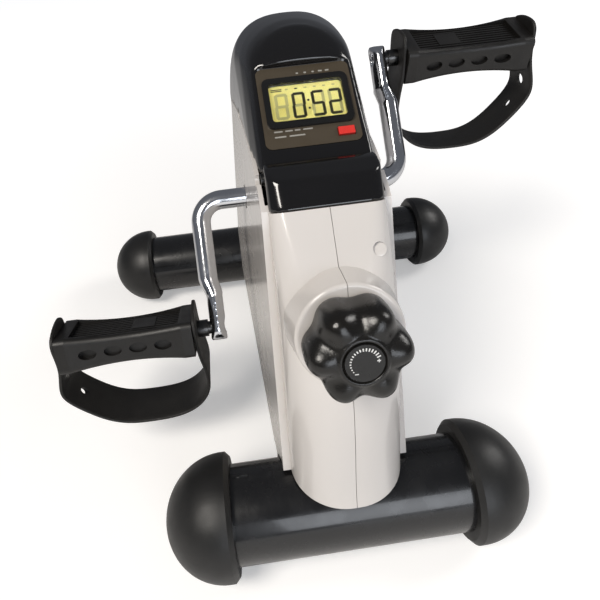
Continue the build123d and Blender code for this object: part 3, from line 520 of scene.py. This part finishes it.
def makeKnob():
    count = knob["lobes"] * knob["steps"]
    turn = math.radians(360.0 / count)
    lastLobe, lastHigh = knob["rings"][0][0], knob["rings"][0][2]
    bpy.ops.mesh.primitive_circle_add(vertices=count, radius=lastLobe / 1000, fill_type="NGON")
    piece = bpy.context.object
    piece.name = "six_lobe_knob"
    openEdit(piece)
    bpy.ops.mesh.select_all(action="SELECT")
    bpy.ops.mesh.flip_normals()
    for lobe, scoop, high, low in knob["rings"][1:]:
        pick(piece, lambda co: abs(co.z - lastHigh / 1000) < 1e-7)
        bpy.ops.mesh.extrude_edges_move(TRANSFORM_OT_translate={"value": (0, 0, (high - lastHigh) / 1000)})
        share = lobe / lastLobe
        bpy.ops.transform.resize(value=(share, share, 1.0), center_override=(0, 0, high / 1000))
        lastLobe, lastHigh = lobe, high
    for lobe, scoop, high, low in knob["rings"]:
        for step in range(knob["steps"] // 2):
            depth = (0.5 + 0.5 * math.cos(math.pi * step / (knob["steps"] / 2))) ** knob["scoopPower"]

            def inScoop(co):
                around = math.atan2(co.y, co.x) - math.pi / 2
                place = (around / turn) % knob["steps"]
                away = min(place, knob["steps"] - place)
                onRing = abs(co.z - high / 1000) < 1e-6 and abs(co.to_2d().length - lobe / 1000) < 2e-5
                return onRing and abs(away - step) < 0.1

            pick(piece, inScoop)
            share = 1.0 - (1.0 - scoop / lobe) * depth
            bpy.ops.transform.resize(value=(share, share, 1.0), center_override=(0, 0, high / 1000))
            bpy.ops.transform.translate(value=(0, 0, (low - high) / 1000 * depth))
    bpy.ops.object.mode_set(mode="OBJECT")
    openEdit(piece)
    topHole = knob["topHole"] / 1000
    pick(piece, lambda co: abs(co.z - lastHigh / 1000) < 1e-6 and co.to_2d().length < topHole)
    bpy.ops.mesh.edge_face_add()
    bpy.ops.object.mode_set(mode="OBJECT")
    addSubdivision(piece, 2)
    piece.matrix_world = knobPlace
    return settle(piece, knobBlack, "knob", 60.0)


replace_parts(makeKnob(), "tension_knob")

# marks on the label, growing from the minus to the plus, in millimetres and degrees
dial = {"marks": 17, "radius": 6.3, "from": 214.0, "to": 22.0, "short": 0.5, "long": 1.9, "wide": 0.62,
        "lift": 25.0, "thick": 0.1, "signTurn": 17.0, "sign": (1.7, 0.45)}


def makeDialMarks():
    bars = []
    for number in range(dial["marks"]):
        share = number / (dial["marks"] - 1)
        around = math.radians(dial["from"] + (dial["to"] - dial["from"]) * share)
        length = dial["short"] + (dial["long"] - dial["short"]) * share
        reach = dial["radius"] + length / 4
        spot = Vector((math.cos(around) * reach, math.sin(around) * reach, dial["lift"])) / 1000
        bars.append(flatBar("tick", (length, dial["wide"], dial["thick"]), around,
                            knobPlace @ Matrix.Translation(spot)))
    minusAt, plusAt = dial["from"] + dial["signTurn"], dial["to"] - dial["signTurn"]
    for around, signs in ((minusAt, (0.0,)), (plusAt, (0.0, 90.0))):
        spot = Vector((math.cos(math.radians(around)), math.sin(math.radians(around)), 0)) * dial["radius"]
        spot.z = dial["lift"]
        for turn in signs:
            bars.append(flatBar("sign", (*dial["sign"], dial["thick"]), math.radians(turn),
                                knobPlace @ Matrix.Translation(spot / 1000)))
    return joinAll("dial_marks", bars)


printWhite = makeFinish("printWhite", {"tone": [(0.60, 0.60, 0.58), (0.70, 0.70, 0.68)],
                                       "rough": [0.45, 0.6],
                                       "grain": (2500.0, 0.0001), "bump": 0.15})
settle(makeDialMarks(), printWhite, "knob")
print("knob and its dial done")

# pale film in front of the display, lift is its face over the display's own, in metres. Its green finish
# also carries a faint painted glow
displayFilm = {"lift": 0.0013, "thick": 0.0012, "wide": 0.0418, "tall": 0.0243, "corner": 0.002}
moduleLow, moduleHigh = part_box("lcd_module")
moduleTop = max(vert.co.dot(fasciaOut) for vert in nodes["lcd_module"].data.vertices)
moduleMid = (moduleLow + moduleHigh) / 2
moduleFace = moduleMid + fasciaOut * (moduleTop - moduleMid.dot(fasciaOut))
displayPlace = placeOn(fasciaOut, moduleFace + fasciaOut * displayFilm["lift"])


def makeFilm():
    bpy.ops.mesh.primitive_plane_add(size=1.0)
    film = bpy.context.object
    film.name = "display_film"
    film.scale = (displayFilm["wide"], displayFilm["tall"], 1.0)
    bpy.ops.object.transform_apply(location=False, rotation=False, scale=True)
    openEdit(film)
    bpy.ops.mesh.select_all(action="SELECT")
    bpy.ops.mesh.bevel(offset=displayFilm["corner"], segments=4, affect="VERTICES")
    bpy.ops.object.mode_set(mode="OBJECT")
    addSolidify(film, displayFilm["thick"], -1.0)
    film.matrix_world = displayPlace
    return film


filmGreenPaintedGlow = makeFinish("filmGreenPaintedGlow", {"tone": [(0.80, 0.74, 0.27), (0.84, 0.78, 0.31)],
                                     "rough": [0.34, 0.42], "grain": (2500.0, 0.0001), "bump": 0.05,
                                     "cloud": 30.0})
paintedGlowShader = filmGreenPaintedGlow.node_tree.nodes["Principled BSDF"]
# the emission is painted glow: the display film shines on its own though it is no lamp
paintedGlowShader.inputs["Emission Color"].default_value = (0.82, 0.76, 0.29, 1.0)
paintedGlowShader.inputs["Emission Strength"].default_value = 0.22
settle(makeFilm(), filmGreenPaintedGlow, "base")

# segments a to g of a digit run from the top bar clockwise with the middle bar last, in millimetres.
# dots, marks and bars are the small signs: their places, then length and width
digit = {"height": 15.0, "width": 5.9, "thick": 1.7, "slant": 3.0, "low": -1.4, "lift": 0.03,
         "columns": [(-14.6, ""), (-4.7, "abcdef"), (6.4, "acdfg"), (16.2, "abdeg")], "deep": 0.06,
         "overlap": 0.35, "dots": [(0.9, 2.6), (0.9, -2.6)], "dotSize": (1.5, 1.3),
         "marks": (-10.5, 5.4, 9.6), "markSize": (1.9, 0.8),
         "bars": [(-16.4, 9.9), (-16.4, 8.9)], "barSize": (6.4, 0.55)}


def makeSegment(length, thick, place, upright):
    tip = thick / 1732
    bpy.ops.mesh.primitive_cylinder_add(vertices=6, radius=tip, depth=digit["deep"] / 1000)
    bar = bpy.context.object
    bar.name = "segment"
    openEdit(bar)
    reach = length / 2000 - tip
    for side in (1, -1):
        pick(bar, lambda co: co.y * side > 1e-5)
        bpy.ops.transform.translate(value=(0, side * reach, 0))
    bpy.ops.object.mode_set(mode="OBJECT")
    turn = 0.0 if upright else math.pi / 2
    bar.matrix_world = displayPlace @ Matrix.Translation(place / 1000) @ Matrix.Rotation(turn, 4, "Z")
    bpy.ops.object.transform_apply(location=True, rotation=True, scale=True)
    return bar


def makeDigits():
    shown, faint = [], []
    tall, wide = digit["height"] / 2, digit["width"] / 2
    overlap = digit["thick"] * digit["overlap"]
    layout = {"a": (0, tall, False), "b": (wide, tall / 2, True), "c": (wide, -tall / 2, True),
              "d": (0, -tall, False), "e": (-wide, -tall / 2, True), "f": (-wide, tall / 2, True),
              "g": (0, 0, False)}
    for column, lit in digit["columns"]:
        for key, (aside, up, upright) in layout.items():
            length = (tall if upright else digit["width"]) + overlap
            lean = up * math.tan(math.radians(digit["slant"]))
            lift = digit["lift"] if key in lit else digit["lift"] / 3
            spot = Vector((column + aside + lean, digit["low"] + up, lift))
            (shown if key in lit else faint).append(makeSegment(length, digit["thick"], spot, upright))
    for aside, up in digit["dots"]:
        spot = Vector((aside, digit["low"] + up, digit["lift"]))
        shown.append(makeSegment(*digit["dotSize"], spot, True))
    firstMark, markStep, markUp = digit["marks"]
    for number in range(6):
        spot = Vector((firstMark + number * markStep, markUp, digit["lift"] / 2))
        (faint if number != 1 else shown).append(makeSegment(*digit["markSize"], spot, False))
    for aside, up in digit["bars"]:
        shown.append(makeSegment(*digit["barSize"], Vector((aside, up, digit["lift"])), False))
    return joinAll("lit_segments", shown), joinAll("faint_segments", faint)


lit, faint = makeDigits()
segmentDark = makeFinish("segmentDark", {"tone": [(0.018, 0.018, 0.006), (0.030, 0.030, 0.012)],
                                         "rough": [0.35, 0.45], "grain": (2500.0, 0.0001), "bump": 0.05})
segmentFaint = makeFinish("segmentFaint", {"tone": [(0.50, 0.48, 0.20), (0.56, 0.53, 0.24)],
                                           "rough": [0.35, 0.45], "grain": (2500.0, 0.0001), "bump": 0.05})
settle(lit, segmentDark, "base")
settle(faint, segmentFaint, "base")


# plain dashes on the panel. Each row gives its height over the display's middle, the dashes' width, then
# where each one lies and its length, in millimetres
panelPrint = {"top": (18.9, 1.0, [(-3.0, 1.6), (1.6, 1.6), (6.2, 1.6), (10.4, 2.4), (14.4, 2.4)]),
              "upper": (-17.6, 0.9, [(-19.0, 5.0), (-13.0, 4.4), (-8.2, 3.4), (-2.4, 5.6)]),
              "lower": (-20.9, 0.9, [(-18.2, 6.6), (-8.8, 9.0)])}
printLift = 0.02


def makePrint():
    lift = (panelFace - displayPlace.translation.dot(fasciaOut)) * 1000 + printLift
    bars = []
    for up, thick, dashes in panelPrint.values():
        for aside, length in dashes:
            bars.append(makeSegment(length, thick, Vector((aside, up, lift)), False))
    return joinAll("panel_print", bars)


printGrey = makeFinish("printGrey", {"tone": [(0.22, 0.21, 0.19), (0.30, 0.29, 0.26)], "rough": [0.45, 0.6],
                                     "grain": (2500.0, 0.0001), "bump": 0.15})
settle(makePrint(), printGrey, "base")
print("display and panel print done")

# floor, light and camera. A lamp gives its place, its aim, its size, its power and its colour
studio = {"floorSize": 9.0, "floorTone": (0.80, 0.79, 0.78), "glowNear": 0.34, "glowFar": 0.85,
          "nearReach": 0.25, "farReach": 1.3, "fill": 0.16, "fillTone": (0.86, 0.90, 1.0),
          "lamps": [("keyLamp", (-0.75, -0.75, 1.25), (0.0, 0.0, 0.12), 0.55, 19.0, (1.0, 0.95, 0.88)),
                    ("frontLamp", (0.35, -1.5, 0.55), (0.0, 0.0, 0.12), 0.8, 9.0, (0.90, 0.94, 1.0)),
                    ("rightLamp", (1.3, 0.1, 1.1), (0.0, 0.0, 0.12), 0.6, 9.0, (1.0, 0.98, 0.95))]}


def makeFloor():
    bpy.ops.mesh.primitive_plane_add(size=studio["floorSize"])
    floor = bpy.context.object
    floor.name = "floor"
    mat = bpy.data.materials.new("paleFloor")
    mat.use_nodes = True
    shader = mat.node_tree.nodes["Principled BSDF"]
    shader.inputs["Base Color"].default_value = (*studio["floorTone"], 1.0)
    shader.inputs["Roughness"].default_value = 0.85
    glow = mat.node_tree.nodes.new("ShaderNodeEmission")
    coords = mat.node_tree.nodes.new("ShaderNodeTexCoord")
    reach = mat.node_tree.nodes.new("ShaderNodeVectorMath")
    reach.operation = "LENGTH"
    grow = mat.node_tree.nodes.new("ShaderNodeMapRange")
    grow.inputs["From Min"].default_value = studio["nearReach"]
    grow.inputs["From Max"].default_value = studio["farReach"]
    grow.inputs["To Min"].default_value = studio["glowNear"]
    grow.inputs["To Max"].default_value = studio["glowFar"]
    mat.node_tree.links.new(coords.outputs["Object"], reach.inputs[0])
    mat.node_tree.links.new(reach.outputs["Value"], grow.inputs["Value"])
    mat.node_tree.links.new(grow.outputs["Result"], glow.inputs["Strength"])
    path = mat.node_tree.nodes.new("ShaderNodeLightPath")
    seen = mat.node_tree.nodes.new("ShaderNodeAddShader")
    pickCamera = mat.node_tree.nodes.new("ShaderNodeMixShader")
    out = mat.node_tree.nodes["Material Output"]
    mat.node_tree.links.new(shader.outputs[0], seen.inputs[0])
    mat.node_tree.links.new(glow.outputs[0], seen.inputs[1])
    mat.node_tree.links.new(path.outputs["Is Camera Ray"], pickCamera.inputs[0])
    mat.node_tree.links.new(shader.outputs[0], pickCamera.inputs[1])
    mat.node_tree.links.new(seen.outputs[0], pickCamera.inputs[2])
    mat.node_tree.links.new(pickCamera.outputs[0], out.inputs["Surface"])
    floor.data.materials.append(mat)


def makeLight():
    world = bpy.data.worlds.new("studio")
    bpy.context.scene.world = world
    world.use_nodes = True
    tree = world.node_tree
    tree.nodes.clear()
    out = tree.nodes.new("ShaderNodeOutputWorld")
    soft = tree.nodes.new("ShaderNodeBackground")
    soft.inputs["Color"].default_value = (*studio["fillTone"], 1.0)
    soft.inputs["Strength"].default_value = studio["fill"]
    back = tree.nodes.new("ShaderNodeBackground")
    back.inputs["Color"].default_value = (1.0, 1.0, 1.0, 1.0)
    back.inputs["Strength"].default_value = 1.0
    path = tree.nodes.new("ShaderNodeLightPath")
    mix = tree.nodes.new("ShaderNodeMixShader")
    tree.links.new(path.outputs["Is Camera Ray"], mix.inputs[0])
    tree.links.new(soft.outputs[0], mix.inputs[1])
    tree.links.new(back.outputs[0], mix.inputs[2])
    tree.links.new(mix.outputs[0], out.inputs[0])
    for name, place, aim, size, power, tone in studio["lamps"]:
        bpy.ops.object.light_add(type="AREA", location=place)
        lamp = bpy.context.object
        lamp.name = name
        lamp.data.shape = "SQUARE"
        lamp.data.size = size
        lamp.data.energy = power
        lamp.data.color = tone
        lamp.rotation_euler = (Vector(aim) - Vector(place)).to_track_quat("-Z", "Y").to_euler()


viewPoint = {"place": (-0.0467, -0.3361, 0.3683), "turn": 2.94, "down": 33.29, "roll": -5.71,
             "lens": 31.2, "shift": (0.0597, -0.0985)}


def makeCamera():
    turn, down, roll = (math.radians(viewPoint[k]) for k in ("turn", "down", "roll"))
    ahead = Vector((math.sin(turn) * math.cos(down), math.cos(turn) * math.cos(down), -math.sin(down)))
    right = Vector((math.cos(turn), -math.sin(turn), 0.0))
    up = right.cross(ahead)
    rolledRight = right * math.cos(roll) + up * math.sin(roll)
    rolledUp = up * math.cos(roll) - right * math.sin(roll)
    pose = Matrix((rolledRight, rolledUp, -ahead)).transposed().to_4x4()
    pose.translation = Vector(viewPoint["place"])
    bpy.ops.object.camera_add()
    camera = bpy.context.object
    camera.matrix_world = pose
    camera.data.sensor_width = 36.0
    camera.data.lens = viewPoint["lens"]
    camera.data.shift_x, camera.data.shift_y = viewPoint["shift"]
    camera.data.clip_start = 0.01
    bpy.context.scene.camera = camera


makeFloor()
makeLight()
makeCamera()
bpy.context.scene.view_settings.view_transform = "Standard"
print("studio ready")
